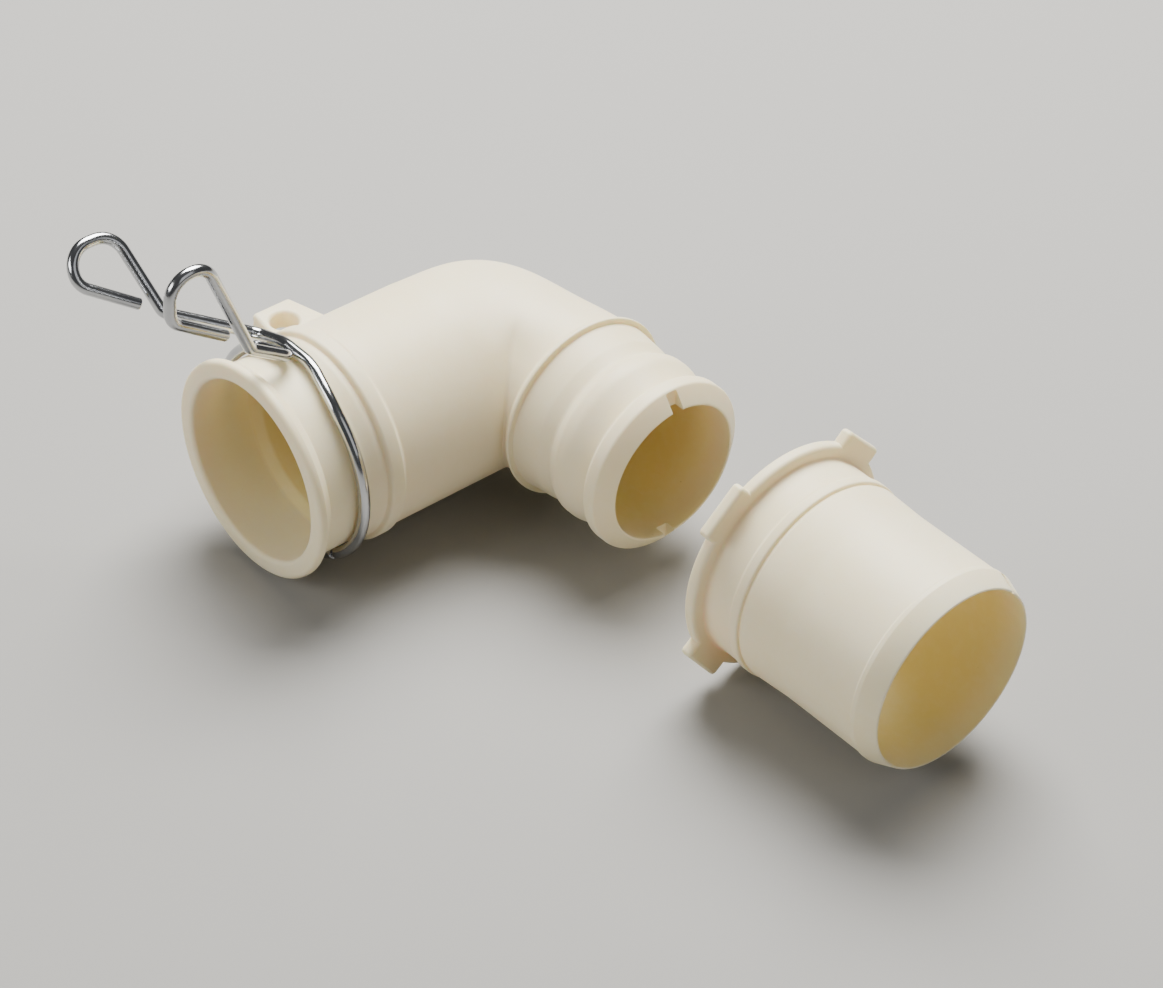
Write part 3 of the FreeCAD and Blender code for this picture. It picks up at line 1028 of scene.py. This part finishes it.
class HOSEELBOW_OT_clamp(Operator):
    """Bends the two halves of the spring wire clamp"""
    bl_idname = "hose_elbow.bend_clamp"
    bl_label = "Bend the clamp"

    def execute(self, context):
        clamp = context.scene.elbow_clamp
        metal = wire_material(clamp)
        ring, wire = clamp.ring / MM, clamp.wire / 2 / MM
        for name, chain, node in (
            ("near_wire", near_wire(ring, wire), "clamp_seat"),
            ("far_wire", far_wire(ring, wire), "clamp_swing"),
        ):
            mesh = formed(
                started(name, chain), wire_tree(), Wire_radius=clamp.wire / 2, Material=metal)
            check_closed(mesh)
            smoothed(mesh, WIRE_SHARP_ANGLE)
            piece = linked(name, mesh)
            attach(piece, node)
            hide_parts(node)
        return {"FINISHED"}


# Stage

# The camera and the lights look at these points, in metres
CAMERA_AIM = (0.04846, 0.05008, 0.0)
LIGHT_AIM = (0.05, 0.05, 0.0)
FLOOR_HALF = 4.0
# Rows of (name, place, size, power in watts, colour)
LIGHTS = [
    ("key light", (-0.30, 0.42, 0.80), (0.75, 0.65), 33.0, (1.0, 0.985, 0.96)),
    ("fill light", (0.75, 0.10, 0.50), (0.60, 0.60), 0.8, (0.99, 0.99, 1.0)),
    ("front light", (-0.25, -0.85, 0.50), (0.70, 0.40), 5.5, (1.0, 0.99, 0.97)),
]


def area_light(name, place, size, power, colour):
    light = bpy.data.lights.new(name, "AREA")
    light.shape = "RECTANGLE"
    light.size, light.size_y = size
    light.energy = power
    light.color = colour
    lamp = bpy.data.objects.new(name, light)
    lamp.location = place
    lamp.rotation_euler = (Vector(LIGHT_AIM) - Vector(place)).to_track_quat("-Z", "Y").to_euler()
    bpy.context.scene.collection.objects.link(lamp)


class HOSEELBOW_OT_stage(Operator):
    """Sets the plain floor, the soft studio light and the camera"""
    bl_idname = "hose_elbow.set_stage"
    bl_label = "Set the stage"

    def execute(self, context):
        stage = context.scene.elbow_stage
        low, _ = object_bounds()
        floor_mesh = bpy.data.meshes.new("floor")
        corners = [
            (x * FLOOR_HALF, y * FLOOR_HALF, low.z) for x, y in ((-1, -1), (1, -1), (1, 1), (-1, 1))
        ]
        floor_mesh.from_pydata(corners, [], [(0, 1, 2, 3)])
        material, _, shader = fresh_material("Plain pale floor")
        set_sockets(shader, {
            "Base Color": tuple(stage.floor) + (1,), "Roughness": 0.7, "Specular IOR Level": 0.25,
        })
        floor_mesh.materials.append(material)
        linked("floor", floor_mesh)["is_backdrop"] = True

        world = bpy.data.worlds.new("studio")
        world.use_nodes = True
        backdrop = world.node_tree.nodes["Background"]
        set_sockets(backdrop, {"Color": (0.62, 0.63, 0.64, 1), "Strength": 0.14})
        context.scene.world = world
        for light in LIGHTS:
            area_light(*light)

        data = bpy.data.cameras.new("camera")
        data.lens = stage.lens
        data.sensor_width = 36.0
        camera = bpy.data.objects.new("camera", data)
        back = Vector((
            math.sin(stage.azimuth) * math.cos(stage.elevation),
            -math.cos(stage.azimuth) * math.cos(stage.elevation),
            math.sin(stage.elevation),
        ))
        camera.rotation_mode = "QUATERNION"
        camera.location = Vector(CAMERA_AIM) + back * stage.distance
        camera.rotation_quaternion = (-back).to_track_quat("-Z", "Y") @ Quaternion((0, 0, 1), stage.roll)
        context.scene.collection.objects.link(camera)
        context.scene.camera = camera
        return {"FINISHED"}


class HOSEELBOW_PT_panel(Panel):
    """Lists the pieces in the order in which they are made"""
    bl_idname = "HOSEELBOW_PT_panel"
    bl_label = "Hose elbow"
    bl_space_type = "VIEW_3D"
    bl_region_type = "UI"
    bl_category = "Hose elbow"

    def draw(self, context):
        layout = self.layout
        for group, operator in (
            (context.scene.elbow_plastic, HOSEELBOW_OT_elbow),
            (None, HOSEELBOW_OT_sleeve),
            (context.scene.elbow_clamp, HOSEELBOW_OT_clamp),
            (context.scene.elbow_stage, HOSEELBOW_OT_stage),
        ):
            box = layout.box()
            if group is not None:
                for name in group.__annotations__:
                    box.prop(group, name)
            box.operator(operator.bl_idname)


CLASSES = (
    PlasticSettings, ClampSettings, StageSettings,
    HOSEELBOW_OT_elbow, HOSEELBOW_OT_sleeve, HOSEELBOW_OT_clamp, HOSEELBOW_OT_stage,
    HOSEELBOW_PT_panel,
)


def register():
    for cls in CLASSES:
        bpy.utils.register_class(cls)
    bpy.types.Scene.elbow_plastic = PointerProperty(type=PlasticSettings)
    bpy.types.Scene.elbow_clamp = PointerProperty(type=ClampSettings)
    bpy.types.Scene.elbow_stage = PointerProperty(type=StageSettings)


def unregister():
    del bpy.types.Scene.elbow_plastic
    del bpy.types.Scene.elbow_clamp
    del bpy.types.Scene.elbow_stage
    for cls in reversed(CLASSES):
        bpy.utils.unregister_class(cls)


def main():
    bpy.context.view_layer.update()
    register()
    bpy.ops.hose_elbow.make_elbow()
    bpy.ops.hose_elbow.make_sleeve()
    bpy.ops.hose_elbow.bend_clamp()
    bpy.ops.hose_elbow.set_stage()


if __name__ == "__main__":
    main()
